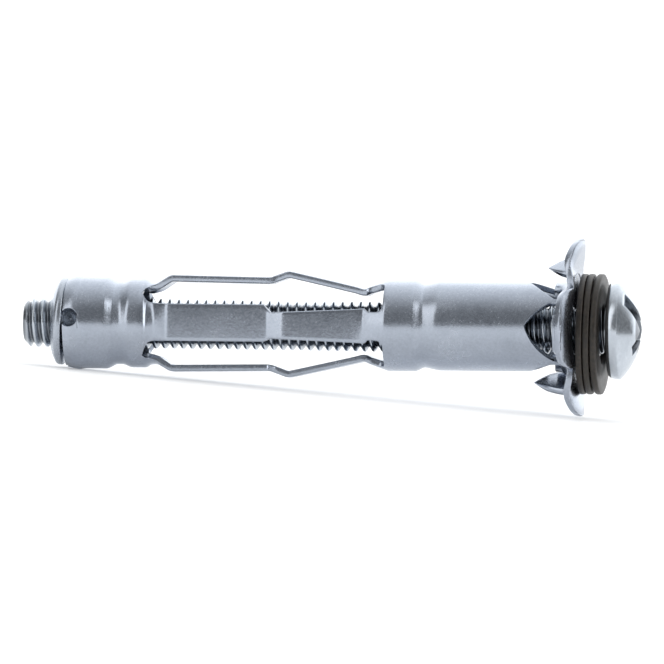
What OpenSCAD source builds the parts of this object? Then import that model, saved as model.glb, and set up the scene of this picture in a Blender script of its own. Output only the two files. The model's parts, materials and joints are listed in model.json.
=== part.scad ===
// Hollow wall anchor: a slotted sheet steel sleeve with a nut staked in one end,
// a clover flange at the other, and a machine screw with three loose washers.
// Millimetres. X runs along the anchor towards the screw head and Z is up. The origin
// is the centre of the flange's rear face, which seats on the wall. The anchor lies on
// its side, on its lowest flange lobe and on the barrel that holds the nut.

/* [Sleeve wall] */
// Thickness of the sheet steel
sheet = 0.45; // [0.35:0.01:0.5]
// Outer radius of the barrel behind the flange
barrel_r = 3.41; // [3.3:0.01:3.6]
// Length of that barrel, from the flange to the front groove
barrel_len = 9.93; // [6:0.01:16]
// Outer radius at the bottom of both rolled grooves
groove_r = 3.17; // [3.05:0.01:3.25]
// Length of the gentle side of each groove
groove_ramp = 1.13; // [0.8:0.01:1.6]
// Length of the steep side of each groove
groove_step = 0.66; // [0.4:0.01:1]
// Outer radius of the band between the front groove and the arms
band_r = 3.48; // [3.42:0.01:3.7]
// Length of that band
band_len = 2.14; // [1.4:0.01:3]
// Outer radius of the collar between the arms and the rear groove
collar_r = 3.41; // [3.3:0.01:3.6]
// Length of that collar
collar_len = 1.23; // [1:0.01:2]
// Outer radius of the barrel that holds the nut
nut_barrel_r = 3.51; // [3.45:0.01:3.7]
// Length of that barrel
nut_barrel_len = 3.17; // [2.8:0.01:3.8]
// Length over which its end is rolled inwards
end_roll_len = 0.66; // [0.4:0.01:0.9]
// How far the rolled end is drawn in
end_roll_in = 0.16; // [0.05:0.01:0.25]

/* [Arms] */
// Outer radius at the neck, where the arms fold first
neck_r = 2.9; // [2.75:0.01:3.1]
// Length of the slope from the band down to the neck
neck_ramp = 1.77; // [1.4:0.01:2.4]
// Outer radius at the knuckle, the widest point of the arms
knuckle_r = 4.14; // [3.9:0.01:4.3]
// Length of each arm from the neck to the knuckle
front_arm_len = 5.87; // [4:0.01:10]
// Outer radius at the crook behind the knuckle
crook_r = 3.67; // [3.5:0.01:3.8]
// Length of the slope from the knuckle to the crook
knuckle_ramp = 1.3; // [1:0.01:1.8]
// Outer radius at the rear shoulder of the arms
shoulder_r = 3.78; // [3.6:0.01:3.9]
// Length of each arm from the crook to the shoulder
rear_arm_len = 7.73; // [5:0.01:14]
// Outer radius at the root of the arms, next to the collar
root_r = 3.18; // [3.1:0.01:3.3]
// Length of the slope from the shoulder to the root
shoulder_ramp = 1.12; // [0.9:0.01:1.6]
// Length of the low stretch at the root
root_len = 0.55; // [0.4:0.01:0.9]
// Width of the rear arms
rear_arm_w = 3.02; // [2.6:0.01:3.2]
// Width of the front arms just in front of the crook
crook_arm_w = 2; // [1.7:0.01:2.4]
// Width of the front arms at the neck
neck_arm_w = 2.64; // [2.4:0.01:2.9]
// Width of the notched bridge that joins each arm to the band
bridge_w = 2.1; // [1.8:0.01:2.3]
// Radius of the fillets beside the bridge
bridge_fillet = 0.55; // [0.3:0.01:0.6]
// Radius of the fillets beside the root of each arm
root_fillet = 0.8; // [0.5:0.01:0.85]

/* [Flange] */
// Outside radius of the bend from the barrel into the flange
flange_bend = 0.75; // [0.5:0.01:1]
// Distance from the axis to the tip of each lobe, before it is bent
lobe_reach = 6.85; // [6.4:0.01:7.4]
// Radius of the round outline of each lobe
lobe_r = 3.1; // [2.8:0.01:3.3]
// Width of the flat at each lobe tip
lobe_flat = 2.2; // [1.8:0.01:2.6]
// Distance from the axis to the line where two lobes are bent forwards
fold_r = 4.45; // [4.4:0.01:4.6]
// Bend of the lobes that carry the claws, in degrees
lobe_lean = 13; // [0:0.5:16]
// Height of the pointed windows behind the flange
window_len = 3.1; // [2:0.01:4]
// Half the width of a window at the flange
window_half_w = 2.38; // [1.8:0.01:2.45]
// Radius of the bowed sides of the windows and claws
bow_r = 4.5; // [4:0.1:8]
// Turn of the windows from the lobes, in degrees
window_turn = 8; // [0:1:12]
// How far the window's tip lies to one side of its middle
window_skew = 0.6; // [0:0.05:0.8]
// Length of the lip that the root of each lobe leaves in its window
lip_len = 0.96; // [0.85:0.01:1.3]
// Half the width of that lip
lip_half_w = 1.35; // [1:0.01:1.5]
// Distance from the axis to the middle of each claw
claw_seat_r = 4.5; // [4.2:0.01:4.8]
// Length of the upper claw
upper_claw_len = 1.6; // [1:0.05:2.5]
// Half the width of the upper claw at its root
upper_claw_half_w = 1.3; // [0.9:0.05:1.6]
// Twist of the upper claw, in degrees
upper_claw_twist = 15; // [0:1:25]
// Length of the lower claw
lower_claw_len = 2.65; // [1:0.05:3]
// Half the width of the lower claw at its root
lower_claw_half_w = 1.55; // [0.9:0.05:1.7]
// Twist of the lower claw, in degrees
lower_claw_twist = 24; // [0:1:25]

/* [Nut] */
// Length of the nut inside the sleeve
nut_len = 2.95; // [2.2:0.01:3]
// Thickness of the collar that stops at the sleeve's end
nut_collar_len = 0.5; // [0.4:0.01:0.8]
// Height of the domed outer face
nut_dome_len = 0.4; // [0.2:0.01:0.6]
// Radius of the flat at the middle of the domed face
nut_dome_r = 2.35; // [2.2:0.01:2.7]
// Mean gap between the collar and the sleeve's end
nut_collar_gap = 0.12; // [0.1:0.01:0.2]
// Clearance between the nut and the inside of the rolled end
nut_clearance = 0.08; // [0.06:0.01:0.12]
// Lean of the nut in the sleeve, in degrees
nut_lean = 1.2; // [0:0.1:1.5]
// Radius of the stake marks that hold the nut
stake_r = 0.62; // [0.4:0.01:0.7]
// Distance of the stake marks from the sleeve's end
stake_inset = 0.51; // [0.4:0.01:0.8]
// Depth of the stake marks in the nut
stake_depth = 0.45; // [0.2:0.01:0.6]
// Turn of the stake marks from the lobes, in degrees
stake_turn = -8; // [-20:1:20]

/* [Screw] */
// Length of the screw under the head
screw_len = 45; // [44:1:60]
// Outer radius of the thread
thread_r = 1.925; // [1.9:0.005:2]
// Radial clearance of the thread in the nut
thread_clearance = 0.05; // [0.03:0.01:0.08]
// Length of the chamfer at the tip
tip_chamfer = 0.48; // [0.2:0.01:0.8]
// Largest radius of the head
head_r = 3.79; // [3.5:0.01:4.2]
// Radius of the head's seat on the washers
seat_r = 3.5; // [3.2:0.01:3.5]
// Radius of the rounded edge of the seat
seat_edge = 0.15; // [0.05:0.01:0.25]
// Height of the head's side
head_side = 0.88; // [0.6:0.01:1.2]
// Height of the whole head
head_height = 2.45; // [2.2:0.01:3]
// Width of the straight slot
slot_w = 1.05; // [0.8:0.01:1.3]
// Depth of the straight slot below the top of the head
slot_depth = 1.15; // [0.8:0.01:1.3]
// Span of the crossing recess, tip to tip
cross_span = 4.6; // [3.6:0.01:5]
// Width of the wings of the crossing recess
cross_w = 0.95; // [0.7:0.01:1.2]
// Depth of the crossing recess below the top of the head
cross_depth = 1.7; // [1.2:0.01:1.9]
// Turn of the slot from upright, in degrees
drive_turn = 40; // [0:5:90]
// Droop of the screw towards its head, in degrees
screw_droop = 0.25; // [0:0.05:0.6]

/* [Washers] */
// Outer radius of the washers
washer_r = 4.6; // [4.2:0.05:5]
// Radius of their holes
washer_hole_r = 2.3; // [2.2:0.01:2.5]
// Thickness of each washer
washer_t = 0.48; // [0.35:0.01:0.55]
// Clear space between a washer's hole and the thread it hangs on
washer_hang_gap = 0.04; // [0.03:0.01:0.06]
// Gap between the flange and the inner washer, on the axis
flange_gap = 0.48; // [0.45:0.01:0.7]
// Gap between the inner and the middle washer
inner_gap = 0.06; // [0.05:0.01:0.2]
// Gap between the middle and the outer washer, on the axis
outer_gap = 0.22; // [0.2:0.01:0.3]
// Gap between the outer washer and the screw head, on the axis
head_gap = 0.45; // [0.4:0.01:2]
// Backward lean of the washers, in degrees
washer_lean = 3; // [0:0.5:4]
// Swing of the outer washer, in degrees
outer_swing = 2; // [0:0.5:2]

/* [Hidden] */
$fn = 72;
quarters = [0, 90, 180, 270];
overlap = 0.1;
slot_land = 0.15;
beyond = 9;
bend_step = 25;
fillet_step = 22.5;

steel = [0.70, 0.72, 0.77];
bright_steel = [0.80, 0.82, 0.86];
dull_steel = [0.63, 0.66, 0.70];
fibre = [0.30, 0.27, 0.25];

// Stations along the sleeve, from the wall face back to the nut
x_groove = -barrel_len;
x_groove_floor = x_groove - groove_ramp;
x_band = x_groove_floor - groove_step;
x_band_rear = x_band - band_len;
x_neck = x_band_rear - neck_ramp;
x_knuckle = x_neck - front_arm_len;
x_crook = x_knuckle - knuckle_ramp;
x_shoulder = x_crook - rear_arm_len;
x_root = x_shoulder - shoulder_ramp;
x_collar = x_root - root_len - (collar_r - root_r);
x_collar_rear = x_collar - collar_len;
x_rear_floor = x_collar_rear - groove_ramp / 2;
x_rear_floor_end = x_rear_floor - groove_ramp / 2;
x_nut_barrel = x_rear_floor_end - groove_step;
x_end_roll = x_nut_barrel - nut_barrel_len + end_roll_len;
x_sleeve_end = x_nut_barrel - nut_barrel_len;
end_r = nut_barrel_r - end_roll_in;

// Slots between the arms
x_slot_rear = x_collar - slot_land;
x_slot_front = x_band_rear - slot_land / 2;
crook_step = 0.55;
notch_len = 1.2;
notch_slope = 0.3;

// Ring that carries the lobes
ring_r = barrel_r + flange_bend + overlap;
lobe_centre = lobe_reach - sqrt(pow(lobe_r, 2) - pow(lobe_flat / 2, 2));
lobe_root_r = ring_r - overlap / 2;
claw_root = 0.35;

// Washers and screw along the screw's own axis
x_inner = sheet + flange_gap;
x_middle = x_inner + washer_t + inner_gap;
x_outer = x_middle + washer_t + outer_gap;
x_seat = x_outer + washer_t + head_gap;
x_tip = x_seat - screw_len;
washer_drop = washer_hole_r - thread_r - washer_hang_gap;
tip_r = thread_r - tip_chamfer;
dome_rise = head_height - head_side;
dome_r = (pow(head_r, 2) + pow(dome_rise, 2)) / (2 * dome_rise);

// The nut and its bore
nut_r = end_r - sheet - nut_clearance;
nut_collar_r = end_r - 0.02;
bore_r = thread_r + thread_clearance;
x_nut_middle = x_sleeve_end + nut_len / 2;

// How the anchor lies: it touches at the lowest lobe tip and the end of the nut barrel
tip_x = (lobe_reach - fold_r) * sin(lobe_lean) + sheet / 2 * (1 - cos(lobe_lean));
tip_z = fold_r + (lobe_reach - fold_r) * cos(lobe_lean) + sheet / 2 * sin(lobe_lean);
rest_tilt = atan2(tip_z - nut_barrel_r, tip_x - x_end_roll);

// ---------------------------------------------------------------- helpers

// Unit vector from point a to point b
function heading(a, b) = (b - a) / norm(b - a);

// Turn from one heading to the next, in degrees
function turn(u, v) = atan2(u[0] * v[1] - u[1] * v[0], u * v);

// One bend of a path: p is [point, bend radius], with its neighbours before and after
function bend(before, p, after) =
    let (u = heading(before, p[0]), v = heading(p[0], after), t = turn(u, v))
    abs(t) < 1 || p[1] == 0 ? [p[0]] :
    let (
        run = p[1] * tan(abs(t) / 2),
        side = t > 0 ? 1 : -1,
        start = p[0] - run * u,
        centre = start + side * p[1] * [-u[1], u[0]],
        steps = max(1, round(abs(t) / bend_step))
    )
    [for (i = [0 : steps])
        let (a = t * i / steps, n = side * [u[1], -u[0]])
        centre + p[1] * [n[0] * cos(a) - n[1] * sin(a), n[0] * sin(a) + n[1] * cos(a)]];

// A path with each of its corners rounded to the corner's own radius
function rounded(path) = [
    for (i = [0 : len(path) - 1])
        each i == 0 || i == len(path) - 1 ? [path[i][0]] :
            bend(path[i - 1][0], path[i], path[i + 1][0])
];

// The path moved sideways by d, with mitred corners
function shifted(path, d) = [
    for (i = [0 : len(path) - 1])
        let (
            u = i == 0 ? heading(path[0], path[1]) : heading(path[i - 1], path[i]),
            v = i == len(path) - 1 ? u : heading(path[i], path[i + 1]),
            m = (u + v) / norm(u + v)
        )
        path[i] + d / (m * u) * [-m[1], m[0]]
];

function reversed(path) = [for (i = [len(path) - 1 : -1 : 0]) path[i]];

// Turns a profile of [distance along X, radius] points into a solid round the X axis
module turned(profile) {
    rotate([0, 90, 0])
        rotate_extrude()
            polygon([for (p = profile) [p[1], p[0]]]);
}

// Centre of the arc that bows out from a tip to a corner of the base, on one side of it
function bow_centre(tip, corner, side) =
    let (chord = corner - tip, across = side * [chord[1], -chord[0]] / norm(chord))
    (tip + corner) / 2 + sqrt(pow(bow_r, 2) - pow(norm(chord) / 2, 2)) * across;

// Pointed arch from its tip at x = 0 to its base at x = length, with the tip at y = skew
module pointed(length, half_w, skew = 0) {
    intersection() {
        translate(bow_centre([0, skew], [length, half_w], 1)) circle(r = bow_r);
        translate(bow_centre([0, skew], [length, -half_w], -1)) circle(r = bow_r);
        translate([-overlap, -half_w - overlap])
            square([length + overlap, 2 * (half_w + overlap)]);
    }
}

// Carries its children from the sleeve's axis to the screw's own, drooping axis
module on_screw_axis() {
    translate([x_nut_middle, 0, 0])
        rotate([0, screw_droop, 0])
            translate([-x_nut_middle, 0, 0]) children();
}

// Lays the anchor down on its lowest lobe and its nut barrel
module at_rest() {
    rotate([0, -rest_tilt, 0]) children();
}

// ---------------------------------------------------------------- sleeve

// Outer line of the sleeve's wall, from the nut end to the flange: [[x, r], bend radius]
function wall_line() = [
    [[x_sleeve_end, end_r], 0],
    [[x_end_roll, nut_barrel_r], 1.5],
    [[x_nut_barrel, nut_barrel_r], 0.4],
    [[x_rear_floor_end, groove_r], 0.4],
    [[x_rear_floor, groove_r], 0.8],
    [[x_collar_rear, collar_r], 0.8],
    [[x_collar, collar_r], 0.15],
    [[x_collar + collar_r - root_r, root_r], 0.25],
    [[x_root, root_r], 0.7],
    [[x_shoulder, shoulder_r], 0.9],
    [[x_crook, crook_r], 0.7],
    [[x_knuckle, knuckle_r], 0.9],
    [[x_neck, neck_r], 0.7],
    [[x_band_rear, band_r], 0.7],
    [[x_band, band_r], 0.3],
    [[x_groove_floor, groove_r], 0.5],
    [[x_groove, barrel_r], 1.5],
    [[0, barrel_r], flange_bend],
    [[0, ring_r], 0]
];

module wall() {
    outer = rounded(wall_line());
    turned(concat(outer, reversed(shifted(outer, -sheet))));
}

// Outline of one arm and its roots, half of it, from the rear to the front
function arm_edge() = [
    [x_slot_rear - 1, rear_arm_w / 2 + root_fillet],
    for (a = [90 : -fillet_step : 0])
        [x_slot_rear + root_fillet * (1 - sin(a)), rear_arm_w / 2 + root_fillet * (1 - cos(a))],
    [x_crook - crook_step / 2, rear_arm_w / 2],
    [x_crook + crook_step / 2, crook_arm_w / 2],
    [x_slot_front - notch_len - notch_slope, neck_arm_w / 2],
    [x_slot_front - notch_len, bridge_w / 2],
    for (a = [0 : fillet_step : 90])
        [x_slot_front - bridge_fillet * (1 - sin(a)), bridge_w / 2 + bridge_fillet * (1 - cos(a))],
    [x_slot_front + 1, bridge_w / 2 + bridge_fillet]
];

module arm_outline() {
    edge = arm_edge();
    linear_extrude(height = 2 * beyond, center = true)
        polygon(concat(edge, [for (p = reversed(edge)) [p[0], -p[1]]]));
}

// Everything between the arms
module slots() {
    difference() {
        translate([x_slot_rear, 0, 0])
            rotate([0, 90, 0])
                cylinder(r = beyond - 1, h = x_slot_front - x_slot_rear);
        arm_outline();
        rotate([90, 0, 0]) arm_outline();
    }
}

module windows() {
    for (a = quarters)
        rotate([a + window_turn, 0, 0])
            linear_extrude(height = beyond)
                difference() {
                    translate([-window_len, 0])
                        pointed(window_len - flange_bend / 3, window_half_w, window_skew);
                    translate([-lip_len, -lip_half_w])
                        square([lip_len, 2 * lip_half_w]);
                }
}

module stake_marks(r, from_r) {
    for (a = quarters)
        rotate([a + stake_turn, 0, 0])
            translate([x_sleeve_end + stake_inset, 0, from_r])
                cylinder(r = r, h = beyond);
}

// Outline of a lobe, with its reach along X
module lobe_outline(inner, outer) {
    intersection() {
        translate([lobe_centre, 0]) circle(r = lobe_r);
        translate([inner, -beyond]) square([outer - inner, 2 * beyond]);
    }
}

// Stands a flat outline up in the flange's plane, with its X pointing up
module in_flange() {
    translate([sheet, 0, 0])
        rotate([0, -90, 0])
            linear_extrude(height = sheet) children();
}

module side_lobe() {
    in_flange()
        difference() {
            lobe_outline(0, lobe_reach);
            circle(r = lobe_root_r);
        }
}

module bent_lobe() {
    fold_half_w = sqrt(pow(lobe_r, 2) - pow(fold_r - lobe_centre, 2));
    in_flange()
        difference() {
            lobe_outline(0, fold_r);
            circle(r = lobe_root_r);
        }
    translate([sheet / 2, 0, fold_r]) {
        rotate([90, 0, 0]) cylinder(r = sheet / 2 - 0.01, h = 2 * fold_half_w, center = true);
        rotate([0, lobe_lean, 0])
            translate([-sheet / 2, 0, -fold_r])
                in_flange() lobe_outline(fold_r, lobe_reach);
    }
}

module claw(length, half_w, twist) {
    translate([-length, 0, claw_seat_r])
        rotate([twist, 0, 0])
            translate([0, 0, -sheet / 2])
                linear_extrude(height = sheet) pointed(length + claw_root, half_w);
}

module sleeve() {
    color(steel)
        at_rest() {
            difference() {
                wall();
                slots();
                windows();
                stake_marks(stake_r, 0);
            }
            rotate([90, 0, 0]) side_lobe();
            rotate([-90, 0, 0]) side_lobe();
            bent_lobe();
            claw(upper_claw_len, upper_claw_half_w, upper_claw_twist);
            rotate([180, 0, 0]) {
                bent_lobe();
                claw(lower_claw_len, lower_claw_half_w, lower_claw_twist);
            }
        }
}

// ---------------------------------------------------------------- nut

module nut_blank() {
    x_face = x_sleeve_end - nut_collar_gap;
    turned([
        [x_sleeve_end + nut_len, 0],
        [x_sleeve_end + nut_len, nut_r],
        [x_face, nut_r],
        [x_face, nut_collar_r],
        [x_face - nut_collar_len, nut_collar_r],
        [x_face - nut_collar_len - nut_dome_len, nut_dome_r],
        [x_face - nut_collar_len - nut_dome_len, 0]
    ]);
}

module nut() {
    color(dull_steel)
        at_rest()
            difference() {
                translate([x_nut_middle, 0, 0])
                    rotate([0, nut_lean, 0])
                        translate([-x_nut_middle, 0, 0]) nut_blank();
                stake_marks(stake_r - overlap / 2, nut_r - stake_depth);
                on_screw_axis()
                    translate([x_sleeve_end - beyond, 0, 0])
                        rotate([0, 90, 0]) cylinder(r = bore_r, h = 2 * beyond);
            }
}

// ---------------------------------------------------------------- screw

module screw_blank() {
    turned([
        [x_tip, 0],
        [x_tip, tip_r],
        [x_tip + tip_chamfer, thread_r],
        [x_seat, thread_r],
        [x_seat, seat_r],
        [x_seat + seat_edge, seat_r + seat_edge],
        [x_seat + head_side, head_r],
        [x_seat + head_side, 0]
    ]);
    translate([x_seat + head_side, 0, 0])
        intersection() {
            translate([dome_rise - dome_r, 0, 0])
                rotate([0, 90, 0]) sphere(r = dome_r);
            rotate([0, 90, 0]) cylinder(r = head_r, h = beyond);
        }
}

module drive_recess() {
    top = x_seat + head_height;
    translate([top - slot_depth, -beyond / 2, -slot_w / 2])
        cube([beyond, beyond, slot_w]);
    for (a = [0, 90])
        rotate([a, 0, 0])
            translate([top - cross_depth, -cross_span / 2, -cross_w / 2])
                cube([beyond, cross_span, cross_w]);
}

module screw() {
    color(bright_steel)
        at_rest()
            on_screw_axis()
                difference() {
                    screw_blank();
                    rotate([90 + drive_turn, 0, 0]) drive_recess();
                }
}

// ---------------------------------------------------------------- washers

module washer(x, swing) {
    color(fibre)
        at_rest()
            on_screw_axis()
                translate([x, 0, -washer_drop])
                    rotate([0, washer_lean, swing])
                        rotate([0, 90, 0])
                            difference() {
                                cylinder(r = washer_r, h = washer_t);
                                translate([0, 0, -overlap])
                                    cylinder(r = washer_hole_r, h = washer_t + 2 * overlap);
                            }
}

module inner_washer() washer(x_inner, 0);

module middle_washer() washer(x_middle, 0);

module outer_washer() washer(x_outer, -outer_swing);

sleeve();
nut();
screw();
inner_washer();
middle_washer();
outer_washer();
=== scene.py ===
# %% [markdown]
# # A hollow wall anchor
#
# The anchor is a sheet steel sleeve that folds up behind a thin wall. A nut is held in its far
# end, a clover flange with two claws sits on the wall, and a machine screw with three loose
# washers runs through it. Here each piece is given its finished shape and its metal.
#
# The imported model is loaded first. Everything below is placed by it, in metres.

import json
import math

import bmesh
import bpy
from mathutils import Matrix, Vector


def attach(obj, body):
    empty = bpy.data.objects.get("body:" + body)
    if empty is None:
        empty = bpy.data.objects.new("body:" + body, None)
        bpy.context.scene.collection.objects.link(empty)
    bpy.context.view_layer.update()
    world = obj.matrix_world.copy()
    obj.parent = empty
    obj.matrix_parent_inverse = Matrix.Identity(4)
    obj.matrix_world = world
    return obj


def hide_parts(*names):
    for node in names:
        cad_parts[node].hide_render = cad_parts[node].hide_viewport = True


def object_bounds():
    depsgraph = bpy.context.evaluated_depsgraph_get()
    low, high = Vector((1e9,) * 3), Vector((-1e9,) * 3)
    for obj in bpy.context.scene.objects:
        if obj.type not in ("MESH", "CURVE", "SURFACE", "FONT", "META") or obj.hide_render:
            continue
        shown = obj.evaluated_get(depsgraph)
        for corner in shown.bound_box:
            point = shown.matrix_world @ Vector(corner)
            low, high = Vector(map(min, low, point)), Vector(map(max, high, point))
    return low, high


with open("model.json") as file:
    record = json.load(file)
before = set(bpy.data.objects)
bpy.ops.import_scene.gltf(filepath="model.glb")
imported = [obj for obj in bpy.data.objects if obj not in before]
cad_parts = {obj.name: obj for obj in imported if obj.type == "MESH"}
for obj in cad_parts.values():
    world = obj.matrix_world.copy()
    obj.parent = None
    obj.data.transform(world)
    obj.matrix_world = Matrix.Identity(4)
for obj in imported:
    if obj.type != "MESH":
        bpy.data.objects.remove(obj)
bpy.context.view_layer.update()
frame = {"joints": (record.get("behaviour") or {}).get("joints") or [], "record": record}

# %% [markdown]
# ## Axes
#
# The anchor lies on its side, so the sleeve's axis climbs a few degrees towards the head. The
# screw hangs a little lower in its nut and has an axis of its own. The pieces could be drawn
# where they lie, but every size would then be a slanted one. Both directions are in the
# record, so each gets a matrix that carries a piece from a flat drawing, with X along the part,
# to its place at rest.

# %% Read the two axes
mounts = {m["name"]: m for m in frame["record"]["mounts"]}
joints = {j["name"]: j for j in frame["joints"]}


def lying_along(axis, origin):
    """Matrix with its X on the axis, its Y level and its origin at the point given."""
    x = Vector(axis).normalized()
    y = Vector((0, 1, 0))
    matrix = Matrix((x, y, x.cross(y))).transposed().to_4x4()
    return Matrix.Translation(origin) @ matrix


on_sleeve = lying_along(mounts["wall_hole"]["axis"], mounts["wall_hole"]["pos_m"])
on_screw = lying_along(joints["screw_turn"]["axis"], joints["screw_turn"]["pos_m"])
for name, matrix in (("sleeve", on_sleeve), ("screw", on_screw)):
    climb = math.degrees(math.atan2(matrix[2][0], matrix[0][0]))
    print("the", name + "'s axis climbs", round(climb, 2), "degrees")

# %% [markdown]
# ## The sleeve's wall
#
# The real sleeve is rolled from sheet and pressed, so its wall is one thin skin that swells and
# narrows on its way. It could be carved out of a tube, but a skin of even thickness is hard to
# get that way. It is easier to make the surface in the middle of the sheet, which a Solidify
# modifier thickens afterwards.
#
# Sizes are in millimetres, and `mm` turns them into metres where a mesh is made. Stations
# along the sleeve run from the wall face, at zero, back to the nut.

# %% Sizes of the wall
mm = 0.001
sheet = 0.5
barrel_r, groove_r, band_r, collar_r, nut_barrel_r, end_r = 3.41, 3.17, 3.48, 3.41, 3.51, 3.35
neck_r, knuckle_r, crook_r, shoulder_r, root_r = 2.90, 4.14, 3.67, 3.78, 3.18
barrel_len, groove_ramp, groove_step, band_len = 9.93, 1.13, 0.66, 2.14
neck_ramp, front_arm_len, knuckle_ramp, rear_arm_len = 1.77, 5.87, 1.30, 7.73
shoulder_ramp, root_len, collar_len, nut_barrel_len, end_roll_len = 1.12, 0.55, 1.23, 3.17, 0.66

# %% Stations along the wall
x_groove = -barrel_len
x_groove_floor = x_groove - groove_ramp
x_band = x_groove_floor - groove_step
x_band_rear = x_band - band_len
x_neck = x_band_rear - neck_ramp
x_knuckle = x_neck - front_arm_len
x_crook = x_knuckle - knuckle_ramp
x_shoulder = x_crook - rear_arm_len
x_root = x_shoulder - shoulder_ramp
x_collar = x_root - root_len - (collar_r - root_r)
x_collar_rear = x_collar - collar_len
x_rear_floor = x_collar_rear - groove_ramp / 2
x_rear_floor_end = x_rear_floor - groove_ramp / 2
x_nut_barrel = x_rear_floor_end - groove_step
x_end = x_nut_barrel - nut_barrel_len
x_end_roll = x_end + end_roll_len
print("the sleeve is", round(-x_end, 2), "mm long behind the wall face")

# %% [markdown]
# The wall is drawn as a line of corners, each with the radius of its bend. The line becomes
# short arcs joined by straights, moved in by half the sheet so that the outer face ends up on
# the drawn sizes. A Bevel modifier could round the corners too, but it would not know which
# side of the sheet the radius is measured on.

# %% The wall's middle line
flange_bend = 0.75
ring_r = barrel_r + flange_bend
wall_corners = [
    (x_end, end_r, 0),
    (x_end_roll, nut_barrel_r, 1.5),
    (x_nut_barrel, nut_barrel_r, 0.4),
    (x_rear_floor_end, groove_r, 0.4),
    (x_rear_floor, groove_r, 0.8),
    (x_collar_rear, collar_r, 0.8),
    (x_collar, collar_r, 0.35),
    (x_collar + collar_r - root_r, root_r, 0.35),
    (x_root, root_r, 0.7),
    (x_shoulder, shoulder_r, 0.9),
    (x_crook, crook_r, 0.7),
    (x_knuckle, knuckle_r, 0.9),
    (x_neck, neck_r, 0.7),
    (x_band_rear, band_r, 0.7),
    (x_band, band_r, 0.4),
    (x_groove_floor, groove_r, 0.5),
    (x_groove, barrel_r, 1.5),
    (0, barrel_r, flange_bend),
    (0, ring_r, 0),
]
least_turn, least_bend = 0.02, 0.1


def arc(centre, spoke, turn, count):
    """Points of an arc, from the end of the spoke, a turn in radians about the centre."""
    for k in range(count + 1):
        a = turn * k / count
        yield centre + Vector((spoke.x * math.cos(a) - spoke.y * math.sin(a),
                               spoke.x * math.sin(a) + spoke.y * math.cos(a)))


def bent_line(corners, inward, arc_step=7.5):
    """Points along a line with rounded corners, moved inward by part of the sheet."""
    points = []
    for i, (x, r, radius) in enumerate(corners):
        here = Vector((x, r))
        before = here - Vector(corners[i - 1][:2]) if i else Vector(corners[1][:2]) - here
        after = Vector(corners[i + 1][:2]) - here if i < len(corners) - 1 else before
        u, v = before.normalized(), after.normalized()
        m = (u + v).normalized()
        corner = here - inward / m.dot(u) * Vector((-m.y, m.x))
        turn = math.atan2(u.x * v.y - u.y * v.x, u.dot(v))
        side = 1 if turn > 0 else -1
        radius = max(radius + side * inward, least_bend) if radius else 0
        if abs(turn) < least_turn or not radius:
            points.append(corner)
            continue
        centre = corner - radius * math.tan(abs(turn) / 2) * u + side * radius * Vector((-u.y, u.x))
        count = max(2, math.ceil(math.degrees(abs(turn)) / arc_step))
        points += arc(centre, side * radius * Vector((u.y, -u.x)), turn, count)
    return points


middle_line = bent_line(wall_corners, sheet / 2)
print("the middle line has", len(middle_line), "points")

# %% [markdown]
# ## Rows
#
# On the real sleeve the slots, windows and stake marks are punched out of the flat sheet. A
# Boolean could cut them, but it would leave thin slivers that show as scratches once the metal
# shines. Here the mesh is laid out round the holes instead. So it needs rows of points close
# together where a hole's edge curves. A station is a place along the line that gets a row.

# %% Where the cuts begin and end
slot_rear, slot_front = x_collar - 0.15, x_band_rear - 0.075
root_fillet, bridge_fillet = 0.95, 0.55
window_len, window_tip, window_end, lip_len = 3.10, 0.8, -0.25, 0.96
stake_r, stake_inset, stake_turn = 0.62, 0.51, -8
stake_x = x_end + stake_inset
half_crook = 0.275
neck_end, bridge_start = slot_front - 1.5, slot_front - 1.2
print("the slots are", round(slot_front - slot_rear, 2), "mm long")

# %% Rows along the sleeve
row_gap, least_gap = 0.32, 0.012


def rounded_steps(start, length, count=5):
    """Stations that crowd towards the start, for a cut that begins with a round end."""
    return [start + length * (1 - math.cos(math.radians(90 * k / count))) for k in range(count + 1)]


def with_stations(points, stations, gap):
    """The line with a point at each station and no step longer than the gap."""
    out = [points[0]]
    for a, b in zip(points, points[1:]):
        inside = sorted((x - a.x) / (b.x - a.x) for x in stations if a.x < x < b.x)
        out += [a.lerp(b, part) for part in inside] + [b]
    spaced = [out[0]]
    for a, b in zip(out, out[1:]):
        count = max(1, math.ceil((b - a).length / gap))
        spaced += [a.lerp(b, k / count) for k in range(1, count + 1)]
    return [p for i, p in enumerate(spaced) if i == 0 or (p - spaced[i - 1]).length > least_gap]


cut_stations = rounded_steps(slot_rear, root_fillet) + rounded_steps(slot_front, -bridge_fillet)
cut_stations += rounded_steps(-window_len, window_tip) + rounded_steps(stake_x + stake_r, -stake_r)
cut_stations += [x_crook - half_crook, x_crook + half_crook, neck_end, bridge_start]
cut_stations += [-lip_len, window_end, stake_x]
wall_line = with_stations(middle_line, cut_stations, row_gap)
print("rows along the sleeve:", len(wall_line))

# %% [markdown]
# ## Where the metal ends
#
# Seen along each quarter of the sleeve, the metal runs from an inner edge, where there is a
# hole in its middle, to an outer edge, where there is a slot between the arms. Both are angles
# from the quarter's own centre, and they are worked out from widths on the flat sheet, because
# that is what the punch was made to.

# %% Angles and tables
def between(x, table):
    """Straight steps between the (x, value) pairs of a table."""
    for (x0, v0), (x1, v1) in zip(table, table[1:]):
        if x <= x1:
            return v0 + (v1 - v0) * max(0, (x - x0) / (x1 - x0))
    return table[-1][1]


def angle_of(half_w, r):
    """The angle, in degrees, that half a width covers at a distance from the axis."""
    return math.degrees(math.asin(max(-1, min(1, half_w / r))))


def share(value):
    """The value, held between nothing and one."""
    return max(0, min(1, value))


print("a millimetre on the barrel covers", round(angle_of(1, barrel_r), 1), "degrees")

# %% The slots between the arms
rear_arm_w, crook_arm_w, neck_arm_w, bridge_w = 3.02, 2.00, 2.64, 2.10
lower_trim, upper_growth = 0.52, 0.16


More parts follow.
